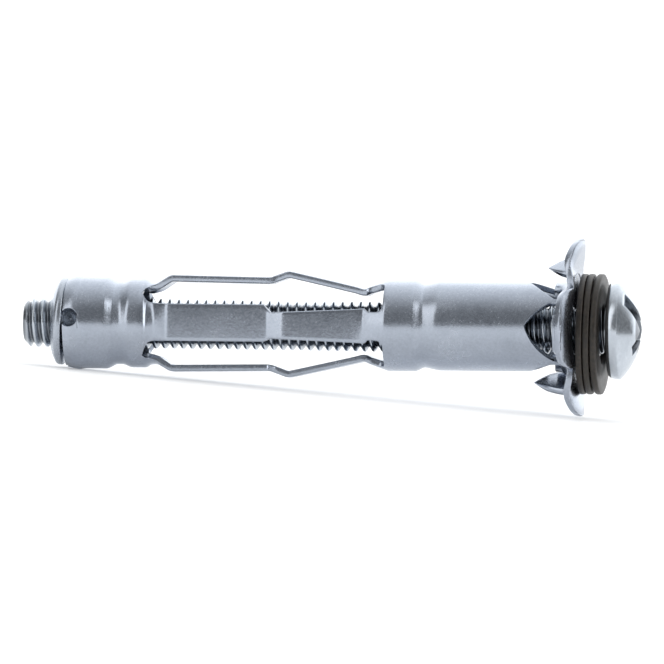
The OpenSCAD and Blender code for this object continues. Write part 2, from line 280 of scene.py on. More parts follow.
def arm_widths(side):
    """The arm is pressed a little off its middle, so its two halves differ behind the crook."""
    rear = rear_arm_w - (lower_trim if side > 0 else -upper_growth)
    return [(slot_rear, rear), (x_crook - half_crook, rear), (x_crook + half_crook, crook_arm_w),
            (neck_end, neck_arm_w), (bridge_start, bridge_w), (slot_front, bridge_w)]


def outer_edge(x, r, side=1):
    """The angle from the quarter's middle to where its metal ends on one side."""
    if x <= slot_rear or x > slot_front + 1e-6:
        return 45
    angle = angle_of(between(x, arm_widths(side)) / 2, r)
    if x < slot_rear + root_fillet:
        u = (x - slot_rear) / root_fillet
        return 45 - (45 - angle) * math.sqrt(1 - (1 - u) ** 2)
    if x > slot_front - bridge_fillet:
        u = min(1, 1 - (slot_front - x) / bridge_fillet)
        fillet = bridge_fillet * (1 - math.sqrt(max(0, 1 - u ** 2)))
        return angle_of(bridge_w / 2 + fillet, r)
    return angle


print("half an arm covers", round(outer_edge(x_crook - 1, crook_r)), "degrees")

# %% The windows and the stake marks
window_half_w, window_turn, window_skew, window_limit, bow_r = 2.38, 8, 0.6, 41.5, 4.5


def bow(x, tip, corner, side=1):
    """Sideways place, at a station, of an edge that is bowed between a tip and a corner."""
    chord = corner - tip
    across = side * Vector((chord.y, -chord.x)).normalized()
    centre = (tip + corner) / 2 + math.sqrt(bow_r ** 2 - (chord.length / 2) ** 2) * across
    return centre.y + side * math.sqrt(bow_r ** 2 - (x - centre.x) ** 2)


tip_turn = window_turn - angle_of(window_skew, barrel_r - sheet / 2)


def inner_edges(x, r):
    """The angles of the two edges of the hole in a quarter's middle, both alike where none is."""
    if x < stake_x + stake_r:
        half = math.sqrt(max(0, stake_r ** 2 - (x - stake_x) ** 2))
        return stake_turn - angle_of(half, r), stake_turn + angle_of(half, r)
    if x > -window_len:
        tip = Vector((-window_len, window_skew))
        edges = [angle_of(bow(x, tip, Vector((window_end, side * window_half_w)), side), r)
                 for side in (1, -1)]
        return [window_turn - max(-window_limit, min(window_limit, e)) for e in edges]
    centre = between(x, [(stake_x + stake_r, stake_turn), (x_collar_rear, 0),
                         (x_band, 0), (-window_len, tip_turn)])
    return centre, centre


def seam_turn(x):
    """Turn of the line where two quarters meet, which follows the marks and windows."""
    return between(x, [(x_end, stake_turn), (x_nut_barrel, stake_turn), (x_collar_rear, 0),
                       (x_band, 0), (-window_len, window_turn)])


print("a window's edges at its base:", [round(a) for a in inner_edges(window_end, barrel_r)])

# %% [markdown]
# ## Patches
#
# The sleeve is sewn from four-sided patches of points: strips of the wall, lips, bends and
# lobes. Patches that share an edge place their points alike there, so a weld joins them. That
# takes more thought than one big cylinder, but every hole then has clean edges, which take a
# bevel well.

# %% Patchwork
class Patchwork:
    """Gathers rows of points, in millimetres, into one mesh whose shared edges are welded."""

    def __init__(self):
        self.mesh = bmesh.new()

    def add(self, rows):
        grid = [[self.mesh.verts.new(p) for p in row] for row in rows]
        for a, b in zip(grid, grid[1:]):
            for i in range(len(a) - 1):
                self.mesh.faces.new((a[i], a[i + 1], b[i + 1], b[i]))

    def weld(self, distance=0.004):
        bmesh.ops.remove_doubles(self.mesh, verts=self.mesh.verts, dist=distance)
        bmesh.ops.dissolve_degenerate(self.mesh, edges=self.mesh.edges, dist=distance / 2)

# %% From a mesh to a piece
to_metres = Matrix.Scale(mm, 4)


def from_bmesh(mesh, name, place=Matrix()):
    """Makes an object of a mesh that was drawn flat, moved to its place."""
    data = bpy.data.meshes.new(name)
    bmesh.ops.recalc_face_normals(mesh, faces=mesh.faces)
    mesh.transform(place)
    mesh.to_mesh(data)
    mesh.free()
    data.shade_smooth()
    piece = bpy.data.objects.new(name, data)
    bpy.context.scene.collection.objects.link(piece)
    print(name, "has", len(data.polygons), "faces")
    return piece


# %% Directions round the axis
quarters = (0, 90, 180, 270)


def outward(angle):
    """Direction away from the axis. 0 is up, 90 towards the front and 180 down."""
    a = math.radians(angle)
    return Vector((0, -math.sin(a), math.cos(a)))


def along(x, r, angle):
    """The point at a station, a distance from the axis and an angle round it."""
    return Vector((x, 0, 0)) + r * outward(angle)


def steps(a, b, count):
    """Even steps from a to b, both ends among them."""
    return [a + (b - a) * k / count for k in range(count + 1)]


print("quarters face", [tuple(round(v) for v in outward(q)) for q in quarters])

# %% [markdown]
# A round wall between two slots would leave the arms bowed like a tube. The press leaves them
# flat, so that they fold cleanly, and rolls them over a few degrees. It also throws up a low
# rim round each stake mark. Both are small moves of points that are in place already.

# %% Flat arms and raised rims
rim_rise, rim_run = 0.06, 0.22
arm_roll, pressed_flat = 2.5, 0.92
flatness = [(slot_rear + 0.3, 0), (x_shoulder, pressed_flat), (x_neck - 0.6, pressed_flat),
            (slot_front, 0)]


def raised(p, angle):
    """The punch throws up a low rim around each stake mark."""
    away = math.hypot(p.x - stake_x, p.y * math.radians(angle - stake_turn)) - stake_r
    return p.y + rim_rise * math.exp(-(away / rim_run) ** 2)


def on_wall(p, angle, quarter):
    """A point of the wall. The press leaves the arms flat, with the rest of the wall round."""
    r = raised(p, angle)
    if not slot_rear < p.x < slot_front:
        return along(p.x, r, quarter + angle)
    flat = between(p.x, flatness)
    half = math.radians(outer_edge(p.x, p.y))
    across = r * math.sin(math.radians(angle))
    pressed = r * (1 - half ** 2 / 6) + across * math.tan(math.radians(arm_roll))
    height = (1 - flat) * r * math.cos(math.radians(angle)) + flat * pressed
    return Vector((p.x, 0, 0)) + height * outward(quarter) + across * outward(quarter + 90)


print("the arms are pressed", round(100 * pressed_flat), "per cent flat")

# %% Rows and columns of the wall
half_columns, side_columns, lip_columns = 4, 2, 6
rear_rows = [p for p in wall_line if p.x <= slot_front + 1e-6]
front_rows = [p for p in wall_line if slot_front - 1e-6 <= p.x <= window_end + 1e-6]
lip_rows = [p for p in wall_line if -lip_len - 1e-6 <= p.x <= window_end + 1e-6]
bend_rows = [p for p in wall_line if p.x >= window_end - 1e-6]
front_edge = outer_edge(slot_front, front_rows[0].y)
split_run, split_share = 2, 0.62


def split(p, inner, outer, sign):
    """The line that splits the front strips, so that the bridge of each arm meets one of them."""
    blend = min(1, (p.x - slot_front) / split_run)
    return (1 - blend) * sign * front_edge + blend * (inner + split_share * (outer - inner))


def front_angles(p, side):
    """The angles of one row's points in front of the slots, on one side of a quarter."""
    sign = (-1, 1)[side]
    inner, outer = inner_edges(p.x, p.y)[side], sign * 45 + seam_turn(p.x)
    middle = split(p, inner, outer, sign)
    return steps(inner, middle, half_columns) + steps(middle, outer, side_columns)[1:]


print("rows behind and in front of the bridges:", len(rear_rows), len(front_rows))

# %% Sew the wall from the nut's end to the flange
lip_half_w = 1.35
sleeve_mesh = Patchwork()
lip = [steps(window_turn - angle_of(lip_half_w, p.y), window_turn + angle_of(lip_half_w, p.y),
             lip_columns) for p in lip_rows]
for quarter in quarters:
    for side, sign in ((0, -1), (1, 1)):
        rows = []
        for p in rear_rows:
            inner, edge = inner_edges(p.x, p.y)[side], outer_edge(p.x, p.y, sign)
            outer = sign * edge + (seam_turn(p.x) if edge == 45 else 0)
            rows.append([on_wall(p, a, quarter) for a in steps(inner, outer, half_columns)])
        sleeve_mesh.add(rows)
        sleeve_mesh.add([[along(p.x, p.y, quarter + a) for a in front_angles(p, side)]
                         for p in front_rows])
    sleeve_mesh.add([[along(p.x, p.y, quarter + a) for a in angles]
                     for p, angles in zip(lip_rows, lip)])
print("wall sewn from", len(sleeve_mesh.mesh.faces), "faces")

# %% [markdown]
# ## The flange
#
# The end of the sleeve is flared into four lobes like a clover. They could be cut from a disc,
# but the joint to the barrel would then need mending by hand. Here each lobe is a petal with
# the same columns as the wall below it, stretched between the bend's arc and the lobe's
# outline. So the mesh is one skin from the nut's end to the lobes' tips.

# %% The outline of a lobe
lobe_reach, lobe_r, lobe_flat, tip_drop = 6.85, 3.10, 2.20, 0.2
lobe_centre = lobe_reach - math.sqrt(lobe_r ** 2 - (lobe_flat / 2) ** 2)


def ring_point(angle):
    """A point of the circle where the bend ends and the lobes begin."""
    a = math.radians(angle)
    return Vector((ring_r * math.cos(a), ring_r * math.sin(a)))


def lobe_point(u, angle):
    """A point of the flat lobe, u from the bend to the tip, by its column's angle at the bend."""
    t, side = abs(angle) / 45, 1 if angle >= 0 else -1
    notch, corner = ring_point(45), Vector((lobe_reach, lobe_flat / 2))
    first = math.atan2(notch.y, notch.x - lobe_centre)
    last = math.atan2(corner.y, corner.x - lobe_centre)
    around = first + (last - first) * u
    edge = Vector((lobe_centre + lobe_r * math.cos(around), lobe_r * math.sin(around)))
    edge = edge.lerp(notch, (1 - u) ** 4)
    middle = Vector((ring_r + (lobe_reach - ring_r) * u, 0))
    tip = Vector((lobe_reach, lobe_flat / 2 * t))
    p = (1 - u) * ring_point(abs(angle)) + u * tip + (1 - t) * middle + t * edge
    p -= ((1 - u) * ((1 - t) * ring_point(0) + t * notch)
          + u * ((1 - t) * Vector((lobe_reach, 0)) + t * corner))
    return p.x - tip_drop * min(1, p.y / (lobe_flat / 2)) ** 2 * u ** 3, side * p.y


print("a lobe's widest place is", round(lobe_centre, 2), "mm from the axis")

# %% [markdown]
# No lobe of a real anchor is quite flat. The rims are dished by the die, the upper and lower
# lobes are bent towards the head where their claws were torn out, and the side lobes lie back.
# All of it is worked out for the flat lobe's points, one move after the other.

# %% How the lobes are bent
fold_r, lobe_lean, lobe_yaw, side_lean = 4.45, 15, 5, 8
fold_run = fold_r - ring_r
yaw_from, yaw_run = 3.4, 1.6
dish, dish_band, dish_run = 0.2, 1.3, 1.2


def folded(rho, lean):
    """How far a point of a lobe moves along the axis, and its new distance from it."""
    a = math.radians(lean)
    start, radius = fold_r - fold_run, 2 * fold_run / a if a else 0
    if not a or rho <= start:
        return 0, rho
    if rho < start + 2 * fold_run:
        b = (rho - start) / radius
        return radius * (1 - math.cos(b)), start + radius * math.sin(b)
    rest = rho - start - 2 * fold_run
    return (radius * (1 - math.cos(a)) + rest * math.sin(a),
            start + radius * math.sin(a) + rest * math.cos(a))


def on_lobe(x, rho, y, quarter, lean):
    """A point of the bent lobe, from its station, its distance out and its place across."""
    rim = math.hypot(rho - lobe_centre, y) - (lobe_r - dish_band)
    x -= dish * max(0, rim) ** 2 * share((rho - ring_r) / dish_run)
    if lean:
        turned_by = y * math.tan(math.radians(lobe_yaw)) * math.cos(math.radians(quarter))
        x -= turned_by * share((rho - yaw_from) / yaw_run)
    else:
        x -= (rho - ring_r) * math.tan(math.radians(side_lean))
    dx, rho = folded(rho, lean)
    return Vector((x + dx, 0, 0)) + rho * outward(quarter) + y * outward(quarter + 90)


print("the upper lobe's tip moves", round(folded(lobe_reach, lobe_lean)[0], 2), "mm to the head")

# %% The columns of a petal
end_angles = front_angles(front_rows[-1], 0)[::-1]
gap_left = steps(end_angles[-1], lip[-1][0], 2)[1:-1]
gap_right = steps(lip[-1][-1], front_angles(front_rows[-1], 1)[0], 2)[1:-1]
petal_angles = end_angles + gap_left + lip[-1] + gap_right + front_angles(front_rows[-1], 1)
even_angles = steps(-45, 45, len(petal_angles) - 1)


def spread(part):
    """The petal's columns, from crowded as at the window's base to evenly spaced."""
    return [a - window_turn + part * (even - a + window_turn)
            for a, even in zip(petal_angles, even_angles)]


print("columns in a petal:", len(petal_angles))

# %% Sew the petals on
lobe_rows, flange_rise = 24, 0.15
bend_spread, lobe_spread = 0.4, 5
last = len(bend_rows) - 1
for quarter in quarters:
    sleeve_mesh.add([[along(p.x + flange_rise * (i / last) ** 2, p.y,
                            quarter + a + window_turn * (1 - i / last))
                      for a in spread(bend_spread * i / last)] for i, p in enumerate(bend_rows)])
    lean = lobe_lean if quarter in (0, 180) else 0
    sleeve_mesh.add([[on_lobe(bend_rows[-1].x + flange_rise, *lobe_point(u, a), quarter, lean)
                      for a in spread(min(1, bend_spread + lobe_spread * u))]
                     for u in steps(0, 1, lobe_rows)])
sleeve_mesh.weld()
sleeve = from_bmesh(sleeve_mesh.mesh, "pressed_sleeve", on_sleeve @ to_metres)

# %% [markdown]
# ## Thickness and edges
#
# Now the skin gets its thickness, half to each side. Punched edges are never quite sharp, and
# their small rounds catch the light. A Bevel modifier makes them. Its width follows an edge
# weight, because the flange's rims are softer than the slots, and a wide bevel would overlap
# itself round the stake marks.

# %% Thicken the sheet
def applied(piece):
    """Gives the piece the mesh that its modifiers make of it, and drops the modifiers."""
    ready = piece.evaluated_get(bpy.context.evaluated_depsgraph_get())
    data = bpy.data.meshes.new_from_object(ready)
    piece.modifiers.clear()
    old, piece.data = piece.data, data
    bpy.data.meshes.remove(old)


thickness = sleeve.modifiers.new("sheet", "SOLIDIFY")
thickness.thickness, thickness.offset = sheet * mm, 0
applied(sleeve)
print("the sheet is", sheet, "mm thick and has", len(sleeve.data.polygons), "faces")

# %% Round the cut edges
widest, cut_angle = 0.15, 50
rim_width, rim_growth, notch_width, notch_r = 0.11, 0.1, 0.04, 4.5
arm_width, small_width, window_width, slot_end_width = 0.10, 0.06, 0.03, 0.045


def rounding(x, r):
    """How far a cut edge is rounded, in millimetres, by its place on the sleeve."""
    if x > -0.3 and r > notch_r:
        return min(rim_width, notch_width + rim_growth * (r - notch_r))
    if abs(x - stake_x) < 0.9 or abs(x - slot_rear) < 0.5 or abs(x - slot_front) < 0.5:
        return slot_end_width
    if x > -1.2:
        return window_width if r < 4.2 else small_width
    return arm_width if x < slot_front else small_width


def round_cut_edges(piece, place):
    """Weighs each cut edge by its place on the sleeve, and bevels by the weights."""
    back = (place @ to_metres).inverted()
    mesh = bmesh.new()
    mesh.from_mesh(piece.data)
    weight = mesh.edges.layers.float.new("bevel_weight_edge")
    cut = [e for e in mesh.edges if e.calc_face_angle(0) > math.radians(cut_angle)]
    for e in cut:
        p = back @ ((e.verts[0].co + e.verts[1].co) / 2)
        e[weight] = rounding(p.x, math.hypot(p.y, p.z)) / widest
    mesh.to_mesh(piece.data)
    mesh.free()
    edge = piece.modifiers.new("edges", "BEVEL")
    edge.width, edge.segments, edge.limit_method = widest * mm, 3, "WEIGHT"
    edge.use_clamp_overlap = False
    applied(piece)
    return len(cut)


print("cut edges rounded:", round_cut_edges(sleeve, on_sleeve))

# %% [markdown]
# ## The claws
#
# Two claws are torn out of the flange and bite into the wall, so that the sleeve can't turn.
# They thin towards the tip and the edges, which an even sheet can't do. So each is a stack of
# closed rings from the tip to the flange, twisted about its middle as the tearing left it.

# %% A claw's rings
claw_rings, claw_crowd, claw_root, claw_corner = 16, 1.3, 0.45, 0.35
tip_share, thinning, edge_thinning, least_half = 0.12, 1.1, 0.12, 0.03


def claw_section(half, thick, twist):
    """Points round a claw at one station: a flat lens, as (up, side), turned by the twist."""
    face = [(v, thick * (1 - edge_thinning * abs(v) ** 3)) for v in steps(-1, 1, 8)]
    a = math.radians(twist)
    for v, t in face + [(v, -t) for v, t in reversed(face)]:
        yield (v * half * math.sin(a) + t * math.cos(a), v * half * math.cos(a) - t * math.sin(a))


def claw(mesh, quarter, length, half_w, twist, seat):
    """A claw that points at the nut, at a distance from the axis, with one bowed edge."""
    tip, corner = Vector((-length, 0)), Vector((claw_corner, half_w))
    rings = []
    for k in range(claw_rings + 1):
        x = -length + (length + claw_root) * (k / claw_rings) ** claw_crowd
        half = max(bow(x, tip, corner), least_half)
        thick = sheet / 2 * min(1, tip_share + (1 - tip_share) * (x + length) / thinning)
        rings.append([mesh.verts.new(Vector((x, 0, 0)) + (seat + up) * outward(quarter)
                                     - side * outward(quarter + 90))
                      for up, side in claw_section(half, thick, twist)])
    for p, q in zip(rings, rings[1:]):
        for k in range(len(p)):
            n = (k + 1) % len(p)
            mesh.faces.new((p[k], p[n], q[n], q[k]))
    mesh.faces.new(rings[0])
    mesh.faces.new(rings[-1])

# %% Put both claws on the flange
claw_seat_r, lower_claw_in = 4.5, 0.25
claws = bmesh.new()
claw(claws, 0, 1.60, 1.30, 28, claw_seat_r)
claw(claws, 180, 2.65, 1.55, 29, claw_seat_r - lower_claw_in)
bmesh.ops.recalc_face_normals(claws, faces=claws.faces)
claws.transform(on_sleeve @ to_metres)
print("the claws have", len(claws.faces), "faces")
claws.from_mesh(sleeve.data)
claws.to_mesh(sleeve.data)
claws.free()
sleeve.data.shade_smooth()

# %% Hand the sleeve over
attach(sleeve, "anchor")
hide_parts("sleeve")
print("the sleeve has", len(sleeve.data.polygons), "faces in all")

# %% [markdown]
# ## The screw's head
#
# The head is a low dome on a short side, with a slot and a cross. Subdivision would round such
# a small recess too far. So a profile is turned about X, a Boolean takes the recess out, and a
# narrow Bevel breaks the edges that the cut leaves.

# %% Turned parts
def turned(mesh, profile, columns=64):
    """Turns (x, r) pairs about X. A pair on the axis becomes one point."""
    rings = []
    for x, r in profile:
        if r < 1e-6:
            rings.append([mesh.verts.new((x, 0, 0))] * columns)
        else:
            rings.append([mesh.verts.new(along(x, r, 360 * k / columns)) for k in range(columns)])
    for a, b in zip(rings, rings[1:]):
        for k in range(columns):
            n = (k + 1) % columns
            corners = list(dict.fromkeys((a[k], a[n], b[n], b[k])))
            if len(corners) > 2:
                mesh.faces.new(corners)

# %% The head's blank
head_r, seat_r, seat_edge, head_side, head_height = 3.79, 3.50, 0.15, 0.88, 2.45
side_taper, dome_rings = 0.17, 12
dome_r = (head_r ** 2 + (head_height - head_side) ** 2) / (2 * (head_height - head_side))

profile = [(0, 0), (0, seat_r - 0.4), (0, seat_r), (seat_edge, seat_r + seat_edge)]
profile += [(x, head_r - side_taper * ((head_side - x) / head_side) ** 2)
            for x in (0.3, 0.45, 0.6, 0.75)]
for k in range(dome_rings + 1):
    r = head_r * math.cos(math.radians(90 * k / dome_rings))
    profile.append((head_height - dome_r + math.sqrt(dome_r ** 2 - r ** 2),
                    r if k < dome_rings else 0))
blank = bmesh.new()
turned(blank, profile, 96)
head = from_bmesh(blank, "screw_head")
print("the dome's radius is", round(dome_r, 2), "mm")

# %% The recess
slot_w, slot_depth, cross_span, cross_w, cross_depth, drive_turn = 1.15, 1.15, 4.6, 0.95, 1.7, 43
cutter_height, cutter_span = 4, 20


def block(size, place):
    """A plain block that cuts."""
    mesh = bmesh.new()
    bmesh.ops.create_cube(mesh, size=1, matrix=place @ Matrix.Diagonal((*size, 1)))
    return from_bmesh(mesh, "cutter")


def cut_away(piece, cutters):
    """Takes the cutters' shapes out of the piece, once its other modifiers are added too."""
    for cutter in cutters:
        cut = piece.modifiers.new("cut", "BOOLEAN")
        cut.object, cut.solver = cutter, "EXACT"


cutters = []
for depth, span, width, turn in ((slot_depth, cutter_span, slot_w, 0),
                                 (cross_depth, cross_span, cross_w, 0),
                                 (cross_depth, cross_span, cross_w, 90)):
    place = (Matrix.Rotation(math.radians(90 + drive_turn + turn), 4, "X")
             @ Matrix.Translation((head_height - depth + cutter_height / 2, 0, 0)))
    cutters.append(block((cutter_height, span, width), place))
cut_away(head, cutters)
edge = head.modifiers.new("edge", "BEVEL")
edge.width, edge.segments, edge.limit_method = 0.09, 3, "ANGLE"
edge.angle_limit = math.radians(40)
applied(head)
for cutter in cutters:
    bpy.data.objects.remove(cutter)
print("the head has", len(head.data.polygons), "faces")

# %% [markdown]
# ## The thread
#
# A thread is one groove that climbs a pitch a turn. A Screw modifier could sweep its profile,
# but the sweep would stop dead at the tip. Here each row of the mesh follows the helix and
# keeps one place on the profile, so the crests stay sharp, and the last turns slide down over
# the tip's chamfer and into the plain neck under the head.

# %% The thread's profile
pitch, crest_r, thread_root_r, screw_len, thread_columns = 0.7, 1.925, 1.571, 45, 48
tip_r, chamfer = 1.445, 0.48
neck_plain_r, neck_from, neck_run, into_head = 1.7, 0.7, 0.4, 0.05
groove = [(0.02, 1.0), (0.09, 0.97), (0.14, 0.86), (0.24, 0.55), (0.34, 0.24), (0.40, 0.05),
          (0.50, 0.0), (0.60, 0.05), (0.66, 0.24), (0.76, 0.55), (0.86, 0.86), (0.91, 0.97)]


def thread_point(turns, column, depth):
    """A point of the thread, some turns from the tip, by its height between root and crest."""
    x = pitch * (turns + column / thread_columns) - screw_len - pitch
    r = thread_root_r + (crest_r - thread_root_r) * depth
    r += (neck_plain_r - r) * share((x + neck_from) / neck_run)
    x = max(-screw_len, min(into_head, x))
    return along(x, min(r, tip_r + (crest_r - tip_r) * (x + screw_len) / chamfer),
                 360 * column / thread_columns)


print("the thread is", round(crest_r - thread_root_r, 3), "mm deep")

# %% Wind the thread
thread = bmesh.new()
rows = []
for turns in range(int(screw_len / pitch) + 4):
    rows += [[thread.verts.new(thread_point(turns + at, c, depth)) for c in range(thread_columns)]
             for at, depth in groove]
per_turn = len(groove)
for i in range(len(rows) - 1):
    for c in range(thread_columns):
        if c < thread_columns - 1:
            a, b = rows[i][c + 1], rows[i + 1][c + 1]
        elif i + 1 + per_turn < len(rows):
            a, b = rows[i + per_turn][0], rows[i + 1 + per_turn][0]
        else:
            continue
        thread.faces.new((rows[i][c], a, b, rows[i + 1][c]))
bmesh.ops.remove_doubles(thread, verts=thread.verts, dist=0.0005)
bmesh.ops.dissolve_degenerate(thread, edges=thread.edges, dist=0.0005)
bmesh.ops.holes_fill(thread, edges=[e for e in thread.edges if e.is_boundary], sides=0)
shank = from_bmesh(thread, "screw_thread")

# %% Join the thread and the head
whole = bmesh.new()
whole.from_mesh(head.data)
whole.from_mesh(shank.data)
for part in (head, shank):
    bpy.data.objects.remove(part)
screw = from_bmesh(whole, "machine_screw", on_screw @ to_metres)
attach(screw, "screw")
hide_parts("screw")

# %% [markdown]
# ## The nut
#
# The nut is a turned plug, a little askew, with a collar that stops against the sleeve's end.
# Four dimples hold it in, and show through the holes of the stake marks. They could be painted
# on, but the light would give that away, so each is cut with a pointed punch.

# %% The plug
nut_r, nut_collar_r, nut_dome_r, bore_r = 2.82, 3.33, 2.35, 1.975
nut_len, nut_collar_len, nut_dome_len, nut_gap, nut_lean = 2.95, 0.50, 0.40, 0.12, 3
face = x_end - nut_gap
front, rear = x_end + nut_len, face - nut_collar_len - nut_dome_len
dome_foot_r, dome_steps = nut_collar_r - 0.1, 8
profile = [(front, bore_r + 0.2), (front, nut_r - 0.15), (front - 0.15, nut_r), (face, nut_r),
           (face, nut_collar_r - 0.08), (face - 0.08, nut_collar_r),
           (face - nut_collar_len + 0.1, nut_collar_r),
           (face - nut_collar_len - 0.04, dome_foot_r)]
for k in range(1, dome_steps + 1):
    u = k / dome_steps
    dome = nut_dome_len * math.sin(math.radians(90 * u)) * 0.98
    profile.append((face - nut_collar_len - dome - 0.008,
                    dome_foot_r - (dome_foot_r - nut_dome_r) * u))
profile += [(rear, bore_r + 0.16), (rear + 0.16, bore_r), (front - 0.2, bore_r),
            (front, bore_r + 0.2)]
plug = bmesh.new()
turned(plug, profile, 72)
bmesh.ops.remove_doubles(plug, verts=plug.verts, dist=0.002)
nut_middle = Matrix.Translation((x_end + nut_len / 2, 0, 0))
leaned = nut_middle @ Matrix.Rotation(math.radians(nut_lean), 4, "Y") @ nut_middle.inverted()
nut = from_bmesh(plug, "nut_plug", leaned)

# %% Stake the nut
punch_r, punch_shoulder, punch_depth = 0.58, 0.35, 0.75
punches = []
for quarter in quarters:
    punch = bmesh.new()
    turned(punch, [(-2, 0), (-2, punch_r), (punch_shoulder, punch_r), (punch_depth, 0.1),
                   (punch_depth + 0.03, 0)], 32)
    place = (Matrix.Rotation(math.radians(quarter + stake_turn), 4, "X")
             @ Matrix.Translation((stake_x, 0, nut_r)) @ Matrix.Rotation(math.radians(90), 4, "Y"))
    punches.append(from_bmesh(punch, "punch", place))
cut_away(nut, punches)
applied(nut)
for punch in punches:
    bpy.data.objects.remove(punch)
nut.data.transform(on_sleeve @ to_metres)
nut.data.shade_smooth()
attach(nut, "anchor")
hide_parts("nut")
print("the nut has", len(nut.data.polygons), "faces")

# %% [markdown]
# ## The washers
#
# Three dark fibre washers hang loose on the screw. Their holes are wider than the thread, so
# they drop until they rest on it. A plain cylinder would look like a drawing: real rims are
# worn round, so each ring is turned with soft corners.

# %% Three loose rings
washer_r, washer_hole_r, washer_t, washer_drop, washer_lean = 4.6, 2.3, 0.48, 0.335, 0.4
worn = 0.11
ring_profile = [(0, washer_hole_r + worn), (0, washer_r - worn), (worn / 3, washer_r - worn / 3),
                (worn, washer_r), (washer_t - worn, washer_r),
                (washer_t - worn / 3, washer_r - worn / 3), (washer_t, washer_r - worn),
                (washer_t, washer_hole_r + worn), (washer_t - worn, washer_hole_r),
                (worn, washer_hole_r), (0, washer_hole_r + worn)]
washers = []
for name, x, swing in (("inner", -2.17, 0), ("middle", -1.63, 0), ("outer", -0.93, -2)):
    ring = bmesh.new()
    turned(ring, ring_profile, 128)
    bmesh.ops.remove_doubles(ring, verts=ring.verts, dist=0.002)
    hanging = (Matrix.Translation((x, 0, -washer_drop))
               @ Matrix.Rotation(math.radians(swing), 4, "Z")
               @ Matrix.Rotation(math.radians(washer_lean), 4, "Y"))
    washer = from_bmesh(ring, name + "_washer_ring", on_screw @ to_metres @ hanging)
    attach(washer, "washers")
    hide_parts(name + "_washer")
    washers.append(washer)

# %% [markdown]
# ## Materials as sums
#
# A finish is a sum: so much fine grain and so much broad cloud. Wiring Math nodes by hand hides
# that, so a socket is wrapped in a class that can be added and multiplied like a number, and
# every other node comes from one method that takes its type, settings and inputs.

# %% A socket that adds and multiplies
class Value:
    """A socket that can be added, multiplied and so on, like a number."""

    def __init__(self, tree, socket):
        self.tree, self.socket = tree, socket

    def maths(self, operation, *values):
        return Nodes(self.tree).node("ShaderNodeMath", {"operation": operation},
                                     dict(enumerate(values)))

    def __add__(self, other):
        return self.maths("ADD", self, other)

    def __sub__(self, other):
        return self.maths("SUBTRACT", self, other)

    def __rsub__(self, other):
        return self.maths("SUBTRACT", other, self)

    def __mul__(self, other):
        return self.maths("MULTIPLY", self, other)

    def __truediv__(self, other):
        return self.maths("DIVIDE", self, other)

    def clamped(self):
        return self.maths("MINIMUM", self.maths("MAXIMUM", self, 0), 1)

# %% A maker of nodes
class Nodes:
    """Adds nodes to one material or world."""

    def __init__(self, tree):
        self.tree = tree

    def node(self, kind, settings=None, inputs=None, output=0):
        """A new node's output. A ramp's stops are (place, colour) pairs among its settings."""
        made = self.tree.nodes.new(kind)
        for key, value in (settings or {}).items():
            if key == "stops":
                ramp = made.color_ramp.elements
                ramp[1].position = 1
                for place, colour in value[1:-1]:
                    ramp.new(place)
                for stop, (place, colour) in zip(ramp, value):
                    stop.position, stop.color = place, (*colour, 1)
            else:
                setattr(made, key, value)
        for key, value in (inputs or {}).items():
            if isinstance(value, Value):
                self.tree.links.new(value.socket, made.inputs[key])
            else:
                made.inputs[key].default_value = value
        return Value(self.tree, made.outputs[output])

    def mix(self, part, first, second):
        """Blends two colours by a part, through a Mix node, so that they stay colours."""
        return self.node("ShaderNodeMix", {"data_type": "RGBA"},
                         {0: part, 6: first, 7: second}, output=2)

# %% Materials for the pieces
def material(name, **constants):
    """A Principled material with its constant sockets set, and the means to add nodes to it."""
    made = bpy.data.materials.new(name)
    made.use_nodes = True
    shader = made.node_tree.nodes["Principled BSDF"]
    for key, value in constants.items():
        shader.inputs[key.replace("_", " ")].default_value = value
    return made, Nodes(made.node_tree), shader


def feed(nodes, shader, **values):
    """Links values to the shader's sockets of the same names."""
    for key, value in values.items():
        nodes.tree.links.new(value.socket, shader.inputs[key.replace("_", " ")])


def finish_with(piece, made):
    """Gives a piece its one material."""
    piece.data.materials.clear()
    piece.data.materials.append(made)
    print(piece.name, "is finished with", made.name)

# %% [markdown]
# ## Zinc
#
# Zinc plating is a bluish grey metal, cloudy over a few millimetres and finely grained. One
# flat grey would look like plastic. A fine and a broad noise are mixed and drive the colour
# and the roughness, and the fine one also gives a very low bump. The thread's roots are darkened
# in colour, partly for oil and mostly as painted shade deep in the groove: a point's distance
# from the screw's axis says how deep it lies.

# %% A zinc finish
broad_scale, fine_share, rough_spread = 420.0, 0.6, 0.35
# Where the painted shade in the thread's roots begins below the crest, and how strongly it darkens
# the colour.
flank_from, root_shade_share = 0.05, 0.85


def groove_depth(nodes, where):
    """How deep in the thread a point lies: nothing at the crest and one at the root."""
    at, along_axis = on_screw.translation, on_screw.col[0].to_3d()
    off = nodes.node("ShaderNodeVectorMath", {"operation": "SUBTRACT"}, {0: where, 1: at})
    cross = nodes.node("ShaderNodeVectorMath", {"operation": "CROSS_PRODUCT"},
                       {0: off, 1: along_axis})
    radius = nodes.node("ShaderNodeVectorMath", {"operation": "LENGTH"}, {0: cross},
                        output="Value") / mm
    return ((crest_r - flank_from - radius) / (crest_r - thread_root_r - flank_from)).clamped()


